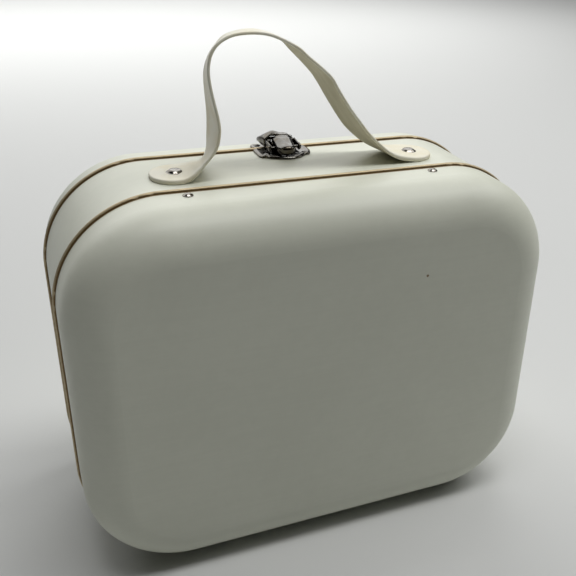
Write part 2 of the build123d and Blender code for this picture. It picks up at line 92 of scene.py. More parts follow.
# Sizes of the shells' sheet and curl, in millimetres
CORNER_RADIUS = 49.4
SHEET = 0.8
BEAD_RADIUS = 1.0
BEAD_SETBACK = 0.1

# How far the brown, painted shade and grime, reaches from the lid's rim over the band's rear edge
BAND_TRIM = 1.2

# A small chip in the front's paint, from the middle of the face
CHIP_X = 45.9
CHIP_UP = 51.7
CHIP_RADIUS = 0.6
CHIP_BLUR = 0.2

# How far a cap's edge lies in the strap
CAP_SINK = 0.25

# How far a curl's surface faces forward or back, from 0 to 1, where its brown, painted shade on
# the curl's flanks, starts and where it is full
FLANK_START = 0.8
FLANK_END = 1.0

# How far a dish's gold reaches to each side of the curl's middle, and how far inside the case's
# outline it starts and is full
GOLD_REACH = 2.0
GOLD_START = 0.6
GOLD_FULL = 0.3

# How far soiled paint reaches from a dish's gold, and from the band's edges
DISH_SOIL = 1.0
BAND_SOIL = 1.6

# How wide the change of finish is at an edge, on a curl's side, and between outside and inside
EDGE_BLUR = 0.1
CURL_BLUR = 0.2
INSIDE_BLUR = 0.5

# A Mix node's sockets for colours: two inputs and the output
MIX_FIRST = 6
MIX_SECOND = 7
MIX_RESULT = 2


def display(red, green, blue):
    """Linear colour of a display colour given in 0 to 255."""
    shares = (value / 255 for value in (red, green, blue))
    return tuple(s / 12.92 if s <= 0.04045 else ((s + 0.055) / 1.055) ** 2.4 for s in shares)


class Wire:
    """A shader socket that takes part in sums, so that shader maths reads as Python."""

    def __init__(self, finish, socket):
        self.finish = finish
        self.socket = socket

    def out(self, name):
        """Another output of the same node."""
        return Wire(self.finish, self.socket.node.outputs[name])

    def math(self, operation, *others):
        """A Math node on this wire and the others, in that order."""
        values = dict(enumerate((self, *others)))
        return self.finish.node("ShaderNodeMath", {"operation": operation}, values)

    def __add__(self, other):
        return self.math("ADD", other)

    __radd__ = __add__

    def __sub__(self, other):
        return self.math("SUBTRACT", other)

    def __rsub__(self, other):
        return self.finish.node("ShaderNodeMath", {"operation": "SUBTRACT"}, {0: other, 1: self})

    def __mul__(self, other):
        return self.math("MULTIPLY", other)

    __rmul__ = __mul__

    def __pow__(self, other):
        return self.math("POWER", other)

    def __abs__(self):
        return self.math("ABSOLUTE")

    def most(self, other):
        """The larger of the two."""
        return self.math("MAXIMUM", other)

    def least(self, other):
        """The smaller of the two."""
        return self.math("MINIMUM", other)

    def ramp(self, start, end):
        """0 at start, 1 at end, smooth between."""
        settings = {"interpolation_type": "SMOOTHSTEP"}
        if start > end:
            return 1 - self.ramp(end, start)
        return self.finish.node("ShaderNodeMapRange", settings, {0: self, 1: start, 2: end})


class Finish:
    """A material under construction, with one surface shader."""

    def __init__(self, name):
        self.material = bpy.data.materials.new(name)
        self.material.use_nodes = True
        self.tree = self.material.node_tree
        self.surface = self.tree.nodes["Principled BSDF"]

    def node(self, kind, settings=None, inputs=None):
        """Add a node: its settings first, then a value or a link for each input."""
        made = self.tree.nodes.new(kind)
        for name, value in (settings or {}).items():
            setattr(made, name, value)
        for name, value in (inputs or {}).items():
            if isinstance(value, Wire):
                self.tree.links.new(value.socket, made.inputs[name])
            else:
                made.inputs[name].default_value = value
        return Wire(self, made.outputs[0])

    def place(self):
        """Where a point lies in the frame, in millimetres."""
        where = self.node("ShaderNodeTexCoord").out("Object")
        return self.node("ShaderNodeVectorMath", {"operation": "SCALE"},
                         {0: where, "Scale": 1 / MM})

    def outward(self):
        """The surface's direction, in the frame at rest."""
        return self.node("ShaderNodeTexCoord").out("Normal")

    def split(self, vector):
        """The three parts of a vector."""
        parts = self.node("ShaderNodeSeparateXYZ", None, {0: vector})
        return parts, parts.out("Y"), parts.out("Z")

    def vector(self, operation, first, second):
        """A Vector Math node on two vectors."""
        return self.node("ShaderNodeVectorMath", {"operation": operation}, {0: first, 1: second})

    def shift(self, vector, offset):
        """A vector moved by an offset."""
        return self.vector("ADD", vector, offset)

    def stretch(self, vector, factors):
        """A vector with each of its parts scaled."""
        return self.vector("MULTIPLY", vector, factors)

    def dot(self, first, second):
        """Dot product of two vectors."""
        return self.vector("DOT_PRODUCT", first, second).out("Value")

    def distance(self, first, second):
        """Distance between two places."""
        return self.vector("DISTANCE", first, second).out("Value")

    def noise(self, vector, grain, detail, roughness=0.5):
        """Noise of 0 to 1 whose lumps are about grain millimetres across."""
        return self.node("ShaderNodeTexNoise", {"normalize": True},
                         {"Vector": vector, "Scale": 1 / grain, "Detail": detail,
                          "Roughness": roughness})

    def cells(self, vector, grain):
        """Distance from the nearest of scattered points about grain millimetres apart."""
        return self.node("ShaderNodeTexVoronoi", {"feature": "SMOOTH_F1"},
                         {"Vector": vector, "Scale": 1 / grain, "Smoothness": 0.4})

    def mix(self, share, first, second):
        """A colour between two, by share."""
        made = self.node("ShaderNodeMix", {"data_type": "RGBA"},
                         {0: share, MIX_FIRST: first, MIX_SECOND: second})
        return made.out(MIX_RESULT)

    def bump(self, height, depth):
        """A surface normal raised by height of 0 to 1, depth millimetres high."""
        return self.node("ShaderNodeBump", None,
                         {"Height": height, "Distance": depth * MM, "Strength": 1.0})

    def apply(self, **sockets):
        """Set the surface shader's sockets; underscores stand for spaces."""
        for name, value in sockets.items():
            socket = self.surface.inputs[name.replace("_", " ")]
            if isinstance(value, Wire):
                self.tree.links.new(value.socket, socket)
            else:
                socket.default_value = value
        return self.material


def solid(colour):
    """A colour with full opacity."""
    return (*colour, 1.0)


class ShellSettings(bpy.types.PropertyGroup):
    """Paint and lacquer of the two dishes and the band"""
    paint: bpy.props.FloatVectorProperty(
        name="Paint", description="Off-white paint outside the shells", subtype="COLOR",
        default=display(223, 225, 210), min=0, max=1)
    lacquer: bpy.props.FloatVectorProperty(
        name="Lacquer", description="Gold lacquer of the curled rims and the inside", subtype="COLOR",
        default=display(201, 184, 149), min=0, max=1)
    # Painted shade and grime: this brown darkens the curls' flanks and the parting line, and also
    # fills paint chips
    patina_and_shade: bpy.props.FloatVectorProperty(
        name="Patina", description="Brown that gathers on the curls' flanks", subtype="COLOR",
        default=display(134, 111, 74), min=0, max=1)
    gloss: bpy.props.FloatProperty(
        name="Paint roughness", description="How matt the paint is", subtype="FACTOR",
        default=0.46, min=0, max=1)


class StrapSettings(bpy.types.PropertyGroup):
    """Sizes and colours of the strap"""
    width: bpy.props.FloatProperty(
        name="Width", description="Width of the strap", unit="LENGTH",
        default=(strap_high.y - strap_low.y) * MM)
    tab_thickness: bpy.props.FloatProperty(
        name="Tab thickness", description="Thickness of the tabs", unit="LENGTH", default=2.2 * MM)
    arch_thickness: bpy.props.FloatProperty(
        name="Arch thickness", description="Thickness of the arch, where the strap is single",
        unit="LENGTH", default=1.4 * MM)
    tip_radius: bpy.props.FloatProperty(
        name="Tip radius", description="Corner radius of the tabs' tips", unit="LENGTH",
        default=12 * MM)
    cream: bpy.props.FloatVectorProperty(
        name="Cream", description="Colour of the strap's skin", subtype="COLOR",
        default=display(238, 235, 218), min=0, max=1)
    # The lining's colour is darker than the cream: painted shade on the strap's underside
    lining_shade: bpy.props.FloatVectorProperty(
        name="Lining", description="Colour of the strap's inner face", subtype="COLOR",
        default=display(218, 212, 190), min=0, max=1)


class MetalSettings(bpy.types.PropertyGroup):
    """Colours of the latch, the hinges and the rivets"""
    nickel: bpy.props.FloatVectorProperty(
        name="Nickel", description="Clean nickel of the latch and hinges", subtype="COLOR",
        default=display(112, 111, 107), min=0, max=1)
    tarnish: bpy.props.FloatVectorProperty(
        name="Tarnish", description="Brown tarnish on the nickel", subtype="COLOR",
        default=display(98, 91, 80), min=0, max=1)
    steel: bpy.props.FloatVectorProperty(
        name="Rivet steel", description="Steel of the rivets and washers", subtype="COLOR",
        default=display(138, 135, 129), min=0, max=1)


class StageSettings(bpy.types.PropertyGroup):
    """The camera's place and the lights' powers"""
    azimuth: bpy.props.FloatProperty(
        name="Azimuth", description="Camera's angle round the case", subtype="ANGLE",
        default=math.radians(-23.885))
    elevation: bpy.props.FloatProperty(
        name="Elevation", description="Camera's angle above the floor", subtype="ANGLE",
        default=math.radians(27.194))
    roll: bpy.props.FloatProperty(
        name="Roll", description="Camera's tilt to one side", subtype="ANGLE",
        default=math.radians(2.297))
    distance: bpy.props.FloatProperty(
        name="Distance", description="From the camera to what it looks at", unit="LENGTH",
        default=401.564 * MM)
    look_x: bpy.props.FloatProperty(
        name="Look at X", description="Point looked at, across the case", unit="LENGTH",
        default=18.411 * MM)
    look_y: bpy.props.FloatProperty(
        name="Look at Y", description="Point looked at, along the case", unit="LENGTH",
        default=-23 * MM)
    look_z: bpy.props.FloatProperty(
        name="Look at Z", description="Point looked at, over the case's middle", unit="LENGTH",
        default=27.73 * MM)
    lens: bpy.props.FloatProperty(
        name="Lens", description="Focal length", unit="CAMERA", default=49.007)
    overhead: bpy.props.FloatProperty(
        name="Overhead", description="Power of the overhead softbox", unit="POWER", default=9.2)
    sparkle: bpy.props.FloatProperty(
        name="Sparkle", description="Power of the small softbox that the metal reflects",
        unit="POWER", default=1.6)
    shoulder: bpy.props.FloatProperty(
        name="Shoulder", description="Power of the high softbox on the right", unit="POWER",
        default=5.0)
    rear: bpy.props.FloatProperty(
        name="Rear", description="Power of the softbox behind", unit="POWER", default=22.0)
    backdrop: bpy.props.FloatProperty(
        name="Backdrop", description="Power of the softbox that lights only the backdrop",
        unit="POWER", default=45.0)
    sky: bpy.props.FloatProperty(
        name="Sky", description="Strength of the light from all round", default=0.004, min=0)


def outline_distance(x, z):
    """How far a point lies outside the case's rounded outline, in millimetres."""
    across = abs(x) - (half_width - CORNER_RADIUS)
    up = abs(z - mid_z) - (half_height - CORNER_RADIUS)
    beyond = (across.most(0) ** 2 + up.most(0) ** 2) ** 0.5
    return beyond + across.most(up).least(0) - CORNER_RADIUS


def dyed(colour, *shares):
    """A colour with each of its three parts scaled, or all by one share."""
    shares = shares * 3 if len(shares) == 1 else shares
    return tuple(min(1.0, part * share) for part, share in zip(colour, shares))


def gold_lacquer(finish, settings, place, shade_and_grime):
    """Colour and roughness of gold lacquer, turned to painted shade and grime where shade_and_grime
    is 1.
    """
    cloud = finish.noise(place, 9.0, 3.0)
    fleck = finish.noise(place, 0.7, 2.0)
    clean = finish.mix(cloud.ramp(0.35, 0.75), solid(settings.lacquer),
                       solid(dyed(settings.lacquer, 0.86)))
    colour = finish.mix(shade_and_grime, clean, solid(settings.patina_and_shade))
    return colour, 0.36 + 0.12 * cloud + 0.06 * fleck


def band_masks(finish, place, y, away, ragged):
    """Where the band is gold, where its rear edge has painted shade and grime, and where it is
    soiled.
    """
    from_axis = finish.stretch(finish.shift(place, (0, 0, -mid_z)), (1, 0, 1))
    inside = finish.dot(finish.outward(), from_axis).ramp(INSIDE_BLUR, -INSIDE_BLUR)
    # Painted shade and grime: the band's rear edge in the parting line is brown
    trim = (lid_rim_y - y + 0.2 * ragged).ramp(BAND_TRIM + EDGE_BLUR, BAND_TRIM)
    gold = inside.most(away.ramp(-SHEET / 4, -SHEET / 2)).most(trim)
    half_depth = (lid_rim_y - front_rim_y) / 2
    from_middle = abs(y - (front_rim_y + lid_rim_y) / 2)
    return gold, trim, from_middle.ramp(half_depth - BAND_SOIL, half_depth)


def dish_masks(finish, place, y, away, ragged, centre_y, bead_y):
    """Where a dish is gold, where it is brown with painted shade and grime, and where it is soiled.
    """
    outward = finish.outward()
    from_centre = finish.shift(place, (0, -centre_y, -mid_z))
    inside = finish.dot(outward, from_centre).ramp(INSIDE_BLUR, -INSIDE_BLUR)
    from_bead = abs(y - bead_y)
    near = (from_bead + 0.2 * ragged).ramp(GOLD_REACH + EDGE_BLUR, GOLD_REACH)
    on_bead = near * away.ramp(-GOLD_START, -GOLD_FULL)
    # Painted shade: the curl's sides that face forward or back turn brown by their direction alone
    flank_shade = (abs(finish.split(outward)[1]) + 0.3 * ragged).ramp(FLANK_START, FLANK_END)
    # Painted shade and grime: brown also on the flat strip just beyond the curl
    shade_and_grime = on_bead * flank_shade.most(from_bead.ramp(BEAD_RADIUS - CURL_BLUR, BEAD_RADIUS))
    soiled = (from_bead + 0.5 * ragged).ramp(GOLD_REACH + DISH_SOIL, GOLD_REACH)
    return inside.most(on_bead), shade_and_grime, soiled


def painted_sheet(name, settings, centre_y=None, bead_y=None):
    """Paint outside, and gold lacquer inside and on the curl, with brown painted shade and grime on a
    dish's curl and on the band's rear edge. centre_y is the middle of a dish's hollow and bead_y the
    middle of its curl. The band has neither."""
    finish = Finish(name)
    place = finish.place()
    x, y, z = finish.split(place)
    away = outline_distance(x, z)
    ragged = finish.noise(place, 1.3, 3.0) - 0.5
    if bead_y is None:
        gold, shade_and_grime, soiled = band_masks(finish, place, y, away, ragged)
    else:
        gold, shade_and_grime, soiled = dish_masks(finish, place, y, away, ragged, centre_y, bead_y)
    tone = finish.noise(place, 70.0, 2.0)
    mottle = finish.noise(place, 5.0, 3.0)
    streak = finish.noise(finish.stretch(place, (0.05, 0.4, 1.0)), 1.6, 2.0)
    paint = finish.mix((0.55 * tone + 0.25 * mottle + 0.2 * streak).ramp(0.3, 0.7),
                       solid(dyed(settings.paint, 0.955, 0.957, 0.95)),
                       solid(dyed(settings.paint, 1.02)))
    paint = finish.mix(soiled * 0.35, paint, solid(dyed(settings.paint, 0.62, 0.57, 0.48)))
    chip = finish.distance(place, (CHIP_X, front_low.y, mid_z + CHIP_UP)) + ragged
    paint = finish.mix(chip.ramp(CHIP_RADIUS + CHIP_BLUR, CHIP_RADIUS), paint,
                       solid(settings.patina_and_shade))
    lacquer, lacquer_roughness = gold_lacquer(finish, settings, place, shade_and_grime)
    peel = finish.noise(place, 1.1, 1.0)
    normal = finish.bump(peel, 0.012)
    roughness = (settings.gloss + 0.1 * (mottle - 0.5)) * (1 - gold) + lacquer_roughness * gold
    return finish.apply(Base_Color=finish.mix(gold, paint, lacquer), Metallic=gold * 0.4,
                        Roughness=roughness, Normal=normal)


def strap_skin(settings):
    """Cream coated leather with a fine pebble grain and a few handling marks."""
    finish = Finish("cream_strap_skin")
    place = finish.place()
    grain = finish.cells(place, 0.75)
    pores = finish.noise(place, 0.35, 2.0)
    cloud = finish.noise(place, 11.0, 3.0)
    colour = finish.mix(cloud.ramp(0.35, 0.7), solid(settings.cream),
                        solid(dyed(settings.cream, 0.95, 0.92, 0.84)))
    marks = finish.noise(finish.stretch(place, (1, 0.5, 1)), 4.0, 4.0, 0.65).ramp(0.66, 0.8)
    colour = finish.mix(marks * 0.35, colour, solid(dyed(settings.cream, 0.72, 0.66, 0.52)))
    normal = finish.bump(grain * 0.7 + pores * 0.3, 0.035)
    return finish.apply(Base_Color=colour, Roughness=0.42 + 0.16 * cloud, Normal=normal,
                        Specular_IOR_Level=0.45)


def strap_lining(settings):
    """The strap's matt lining with a fine suede nap, painted darker than its skin as shade on the
    underside.
    """
    finish = Finish("strap_lining")
    place = finish.place()
    nap = finish.noise(place, 0.3, 3.0, 0.6)
    rubbed = finish.noise(finish.stretch(place, (0.5, 1, 0.5)), 6.0, 3.0)
    colour = finish.mix((0.5 * nap + 0.5 * rubbed).ramp(0.35, 0.65), solid(settings.lining_shade),
                        solid(dyed(settings.lining_shade, 0.85, 0.84, 0.8)))
    return finish.apply(Base_Color=colour, Roughness=0.75 + 0.15 * nap, Specular_IOR_Level=0.25,
                        Normal=finish.bump(nap, 0.03))


def aged_metal(name, clean, tarnish, dark_share, grain):
    """Plated metal with brown tarnish in patches and fine handling scratches."""
    finish = Finish(name)
    place = finish.place()
    patch = finish.noise(place, grain, 3.0)
    swell = finish.noise(place, grain * 1.3, 0.0)
    scratch = finish.noise(finish.stretch(place, (1, 6, 6)), 0.8, 1.0)
    colour = finish.mix(patch.ramp(dark_share - 0.2, dark_share + 0.25), solid(clean),
                        solid(tarnish))
    return finish.apply(Base_Color=colour, Metallic=1.0,
                        Roughness=0.1 + 0.1 * patch + 0.06 * scratch,
                        Normal=finish.bump(swell, 0.012))


def coat(node, material):
    """Give a CAD node one material."""
    cad[node].data.materials.clear()
    cad[node].data.materials.append(material)


# Points of a piece that are nearer than this, in millimetres, are merged
MERGE_DISTANCE = 0.001

# How full a sheet's rounded edge is: 2 is a circle, and more is squarer
EDGE_POWER = 2.5

# Sides of a turned rivet
TURNED_SIDES = 40

# The least length that a normal is divided by
TINY = 1e-9


def piece_from(name, bm, body, materials):
    """Link a finished mesh as a piece that rides on a body."""
    bmesh.ops.remove_doubles(bm, verts=bm.verts, dist=MERGE_DISTANCE * MM)
    bmesh.ops.recalc_face_normals(bm, faces=bm.faces)
    mesh = bpy.data.meshes.new(name)
    bm.to_mesh(mesh)
    bm.free()
    mesh.shade_smooth()
    for material in materials:
        mesh.materials.append(material)
    piece = bpy.data.objects.new(name, mesh)
    bpy.context.scene.collection.objects.link(piece)
    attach(piece, body)
    return piece


def skin(name, shells, body, material, second=None):
    """Closed smooth shells, each over rings of points in millimetres. Points that meet are
    merged. second is another material and the steps round each ring that it covers."""
    bm = bmesh.new()
    other, covered = second or (None, ())
    for rings in shells:
        rows = [[bm.verts.new(Vector(point) * MM) for point in ring] for ring in rings]
        count = len(rings[0])
        for near, far in zip(rows, rows[1:]):
            for i in range(count):
                j = (i + 1) % count
                face = bm.faces.new((near[i], near[j], far[j], far[i]))
                face.material_index = int(i in covered)
    materials = [material] if other is None else [material, other]
    return piece_from(name, bm, body, materials)


def spline(knots, steps):
    """Points of a smooth line from the second of the knots up to the last but one."""
    points = []
    for a, b, c, d in zip(knots, knots[1:], knots[2:], knots[3:]):
        for t in np.linspace(0, 1, steps, endpoint=False):
            points.append(0.5 * (2 * b + (c - a) * t + (2 * a - 5 * b + 4 * c - d) * t ** 2
                                 + (3 * b - a - 3 * c + d) * t ** 3))
    return np.array(points)


def open_line(corners, steps):
    """A smooth line from the first corner to the last."""
    knots = np.array([corners[0], *corners, corners[-1]], float)
    return np.concatenate([spline(knots, steps), knots[-1:]])


def closed_line(corners, steps):
    """A smooth closed line through the corners."""
    return spline(np.array([corners[-1], *corners, corners[0], corners[1]], float), steps)


def edge_swell(distance, edge):
    """Share of the full thickness at a distance from a rounded edge."""
    within = np.clip(np.asarray(distance) / edge, 0, 1)
    return (1 - (1 - within) ** EDGE_POWER) ** (1 / EDGE_POWER)


def eased(share):
    """A share kept to 0 to 1, which starts and ends gently."""
    within = np.clip(share, 0, 1)
    return within * within * (3 - 2 * within)


def bent_sheet(grid):
    """Rings of the latch's sheet, whose middle surface is a grid of points, row by row."""
    normal = np.cross(np.gradient(grid, axis=0), np.gradient(grid, axis=1))
    normal /= np.maximum(np.linalg.norm(normal, axis=2), TINY)[..., None]
    reach = [np.linalg.norm(np.diff(grid, axis=a), axis=2).cumsum(axis=a) for a in (0, 1)]
    down = np.vstack([np.zeros(grid.shape[1]), reach[0]])
    over = np.hstack([np.zeros((grid.shape[0], 1)), reach[1]])
    distance = np.minimum(np.minimum(down, down[-1] - down), np.minimum(over, over[:, -1:] - over))
    lift = normal * (edge_swell(distance, LATCH_EDGE) * LATCH_SHEET / 2)[..., None]
    return [np.vstack([row + up, (row - up)[::-1][1:-1]]) for row, up in zip(grid, lift)]


def pressed(plan, profile, rise=None):
    """Rings of a piece pressed from a plate, over its closed plan in latch coordinates. The
    profile gives each ring's inset and height, and rise the extra height at a place."""
    low, high = plan.min(axis=0), plan.max(axis=0)
    middle, half = (low + high) / 2, (high - low) / 2
    rings = []
    for inset, height in profile:
        flat = middle + (plan - middle) * np.maximum(1 - inset / half, 0)
        extra = rise(flat[:, 0], flat[:, 1]) if rise else 0
        rings.append(latch_points(flat[:, 0], flat[:, 1], height + extra))
    return rings


def latch_points(x, u, h):
    """Latch coordinates to places in the frame."""
    x, u, h = np.broadcast_arrays(x, u, h)
    return np.stack([x, parting_y + u, top_z + h], axis=-1)


def turned(profile, x, y, z, facing):
    """Rings of a rivet turned about an upright axis, whose head faces up or down. The profile
    gives the radius and height of each of its edges."""
    turn = np.linspace(0, 2 * math.pi, TURNED_SIDES, endpoint=False)
    rings = []
    for radius, height in profile:
        rings.append(np.c_[x + radius * np.cos(turn), y + radius * np.sin(turn),
                           np.full(TURNED_SIDES, z + facing * height)])
    return rings


# Stations of the strap's middle line: x, height over the band, and the roll in degrees, which
# lifts the rear edge where it is positive and the front edge where it is negative
STRAP_STATIONS = [
    (-71.8, 1.1, 0), (-63, 1.1, 0), (-57.5, 1.3, -1), (-53, 2.5, -5), (-49.8, 4.1, -10),
    (-46.5, 5.9, -15), (-44, 9.5, -12), (-42.2, 14.5, -5), (-41.2, 20, -2), (-41.1, 27, -2),
    (-43, 42.8, -8), (-42, 51.5, -14), (-38.4, 57.6, -16), (-31.3, 61.9, -10), (-18.5, 62.7, -4),
    (-5.9, 58.2, 0), (0.4, 53, -1), (10.2, 44.1, -4), (14.6, 38, -3), (20.5, 29, -4),
    (26.5, 20.8, -6), (31.1, 15.1, -6.5), (38.4, 8.5, -6), (44.3, 4.5, -4.5), (49, 2.8, -2),
    (54, 1.8, -1), (59, 1.3, 0), (65, 1.1, 0), (71.2, 1.1, 0)]
STRAP_STEPS = 14
STRAP_EDGE_ROUND = 0.75

# Samples round each tip, from tip to tip, and across the strap
STRAP_TIP_SAMPLES = 14
STRAP_LONG_SAMPLES = 300
STRAP_SIDE_SAMPLES = 26

# The strap's swelling round a cap: its height, and how wide and how far outside the cap it is
CAP_PUFF = 0.18
CAP_PUFF_WIDTH = 0.9

# Heights of the middle line between which the strap goes from its tab to its thin arch
THIN_FROM = 1.4
THIN_AT = 6.0

# Samples at each edge of the underside that keep the skin's colour
LINING_MARGIN = 3


def strap_course(tip, tab_thick, arch_thick):
    """Places along the strap's middle line: how far each is from the nearer tip, its x and
    height, the roll in radians, the thickness and the direction."""
    line = open_line(STRAP_STATIONS, STRAP_STEPS)
    steps = np.hypot(np.diff(line[:, 0]), np.diff(line[:, 1]))
    reach = np.r_[0, np.cumsum(steps)]
    ends = tip * (1 - np.cos(np.linspace(0, math.pi / 2, STRAP_TIP_SAMPLES)))
    between = np.linspace(tip, reach[-1] - tip, STRAP_LONG_SAMPLES)[1:-1]
    along = np.r_[ends, between, reach[-1] - ends[::-1]]
    x, height, roll = (np.interp(along, reach, line[:, i]) for i in range(3))
    height = np.maximum(height, tab_thick / 2)
    thin = eased((height - THIN_FROM) / (THIN_AT - THIN_FROM))
    thickness = tab_thick + (arch_thick - tab_thick) * thin
    tangent = np.c_[np.gradient(x, along), np.gradient(height, along)]
    tangent /= np.linalg.norm(tangent, axis=1)[:, None]
    from_tip = np.minimum(along, reach[-1] - along)
    return zip(from_tip, x, height, np.radians(roll), thickness, tangent)


def strap_ring(width, tip, from_tip, x, height, roll, thickness, tangent):
    """One closed cross-section of the strap, its upper side first, then its lining."""
    before = max(tip - from_tip, 0)
    half = width / 2 - tip + math.sqrt(tip ** 2 - before ** 2)
    s = half * np.sin(np.linspace(-math.pi / 2, math.pi / 2, STRAP_SIDE_SAMPLES))
    side = np.abs(s) - (width / 2 - tip)
    corner = tip - np.hypot(before, np.maximum(side, 0))
    straight = np.minimum(from_tip, width / 2 - np.abs(s))
    edge = np.where((before > 0) & (side > 0), corner, straight)
    swell = thickness / 2 * edge_swell(edge, STRAP_EDGE_ROUND)
    cos, sin = math.cos(roll), math.sin(roll)
    out = np.array([-tangent[1], 0, tangent[0]])
    across = np.array([0, cos, 0]) + out * sin
    up = out * cos - np.array([0, sin, 0])
    middle = np.array([x, strap_mid_y, top_z + height]) + np.outer(s, across)
    from_cap = np.hypot(np.abs(middle[:, 0]) - handle_rivet_x, middle[:, 1] - strap_mid_y)
    puff = CAP_PUFF * np.exp(-((from_cap - cap_radius) / CAP_PUFF_WIDTH - 1) ** 2)
    top = middle + np.outer(swell + puff * np.clip(edge / STRAP_EDGE_ROUND, 0, 1), up)
    foot = middle - np.outer(swell, up)
    return np.vstack([top, foot[::-1][1:-1]])


def strap_rings(settings):
    """Closed cross-sections from one tip of the strap to the other."""
    width, tip = settings.width / MM, settings.tip_radius / MM
    course = strap_course(tip, settings.tab_thickness / MM, settings.arch_thickness / MM)
    return [strap_ring(width, tip, *place) for place in course]


class STORAGE_BOX_OT_shells(bpy.types.Operator):
    """Paint the front shell, the band and the lid, with gold curls and a gold inside"""
    bl_idname = "storage_box.shells"
    bl_label = "Finish Shells"

    def execute(self, context):
        settings = context.scene.storage_box_shells
        curl = BEAD_SETBACK + BEAD_RADIUS
        coat("front_shell", painted_sheet(
            "painted_front_shell", settings, centre_y=(front_low.y + front_rim_y) / 2,
            bead_y=front_rim_y - curl))
        coat("lid_shell", painted_sheet(
            "painted_lid_shell", settings, centre_y=(lid_high.y + lid_rim_y) / 2,
            bead_y=lid_rim_y + curl))
        coat("body_band", painted_sheet("painted_body_band", settings))
        return {"FINISHED"}


class STORAGE_BOX_OT_strap(bpy.types.Operator):
    """Bend the strap over its stations, between its two riveted tabs"""
    bl_idname = "storage_box.strap"
    bl_label = "Make Strap"

    def execute(self, context):
        settings = context.scene.storage_box_strap
        lined = range(STRAP_SIDE_SAMPLES - 1 + LINING_MARGIN,
                      2 * STRAP_SIDE_SAMPLES - 2 - LINING_MARGIN)
        strap = skin("strap_handle", [strap_rings(settings)], "case",
                     strap_skin(settings), (strap_lining(settings), lined))
        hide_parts("handle_strap")
        return {"FINISHED"}


# Profiles of the rivets from the tip of the clinch to the top of the head: radius, and height
# over the surface that the head sits on
HANDLE_RIVET = [(0, -5.2), (2.6, -5.2), (3.1, -4.9), (3.2, -4.2), (1.9, -4.1), (1.9, 0),
                (3.7, -0.1), (4.1, 0.05), (4.15, 0.25), (4.0, 0.4), (3.8, 0.42), (3.6, 0.45),
                (3.52, 0.52), (2.8, 1.28), (2.65, 1.38), (2.1, 1.48), (1.1, 1.53), (0, 1.55)]
SHELL_RIVET = [(0, -3.0), (1.5, -3.0), (1.75, -2.8), (1.8, -2.3), (1.1, -2.2), (1.1, 0), (2.3, 0),
               (2.4, 0.12), (2.36, 0.26), (2.2, 0.33), (2.05, 0.35), (1.97, 0.41), (1.4, 0.98),
               (1.25, 1.05), (0.6, 1.1), (0, 1.12)]


class STORAGE_BOX_OT_rivets(bpy.types.Operator):
    """Turn the rivets of the handle and of the front shell, and give the washers their steel"""
    bl_idname = "storage_box.rivets"
    bl_label = "Make Rivets"

    def execute(self, context):
        settings = context.scene.storage_box_metals
        steel = aged_metal("rivet_steel_aged", settings.steel, settings.tarnish,
                           dark_share=0.55, grain=1.6)
        tab_top = context.scene.storage_box_strap.tab_thickness / MM - CAP_SINK
        caps = [(side * handle_rivet_x, strap_mid_y, top_z + tab_top, 1) for side in (-1, 1)]
        handle = skin("handle_rivet_set", [turned(HANDLE_RIVET, *cap) for cap in caps], "case",
                      steel)
        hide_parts("handle_rivets")
        heads = [(side * shell_rivet_x, shell_rivet_y, z, facing)
                 for side in (-1, 1) for z, facing in ((top_z, 1), (band_low.z, -1))]
        shell = skin("shell_rivet_set", [turned(SHELL_RIVET, *head) for head in heads], "case",
                     steel)
        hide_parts("shell_rivets")
        coat("handle_washers", steel)
        return {"FINISHED"}


# An inset that takes a pressed piece's ring to the middle of its plan
TO_MIDDLE = 99

# Points to each stretch of a plan's smooth line
PLAN_STEPS = 6

# Outline of the latch's base plate: a bowed front between two lobed wings
BASE_PLAN = [(-13.6, -1.4), (-14.2, -3.4), (-14.3, -8), (-14.3, -13), (-13.1, -15.6),
             (-11.4, -15.9), (-9.9, -17.6), (-6.2, -19.6), (-2, -20.9), (1.2, -21.1), (5, -19.8),
             (8, -17.3), (9.4, -16.1), (11.6, -15.6), (12.9, -13.4), (13.9, -10), (14.1, -5),
             (13.4, -1.6), (10, -0.9), (-10, -0.9)]

# The base plate's section, as the inset and height of each ring: a raised rim that slopes
# outwards
BASE_SECTION = [(TO_MIDDLE, 0.02), (1.0, 0.02), (0.05, 0.05), (0, 0.3), (0.05, 0.5),
                (0.13, 0.67), (0.25, 0.78), (1.15, 1.2), (1.3, 1.26), (1.55, 1.3), (1.9, 1.24),
                (2.3, 1.08), (2.7, 0.93), (TO_MIDDLE, 0.9)]

# The plate's ears: their middle, their radius round the pivot pin, and their foot
EAR_X = 3.25
EAR_RADIUS = 1.6
EAR_FOOT_H = 0.5
EAR_ROWS = 14

# The angle between a round end's tip and its nearest row, which keeps that row from being a point
TIP_ANGLE = 0.06

# Outline of the lever's cover, whose nose leans a little to the left
LEVER_PLAN = [(-4.8, -5.2), (-4.85, -8), (-4.9, -11.5), (-5.1, -14.2), (-4.6, -16.8),
              (-3.2, -18.5), (-0.8, -19.15), (1.7, -18.7), (3.3, -17.1), (4.0, -14.6), (4.5, -12),
              (4.8, -9), (4.8, -5.2), (4.1, -4.6), (-4.1, -4.6)]

# The cover's section: from the middle of its hollow round its foot, which stays level, and on to
# the middle of its top, which rises to the hook
LEVER_FOOT = [(TO_MIDDLE, 5.0), (1.7, 5.0), (1.05, 4.4), (0.9, 2.0), (0.6, 1.7), (0.3, 1.7),
              (0, 2.1), (0, 4.0)]
LEVER_TOP = [(0.06, 4.5), (0.2, 4.9), (0.35, 5.08), (1.55, 5.61), (1.8, 5.71), (2.3, 5.84),
             (2.9, 5.93), (TO_MIDDLE, 6.0)]

# The top's rise to the hook
LEVER_RISE = 1.8
LEVER_RISE_FROM_U = -15.0
LEVER_RISE_TO_U = -4.6

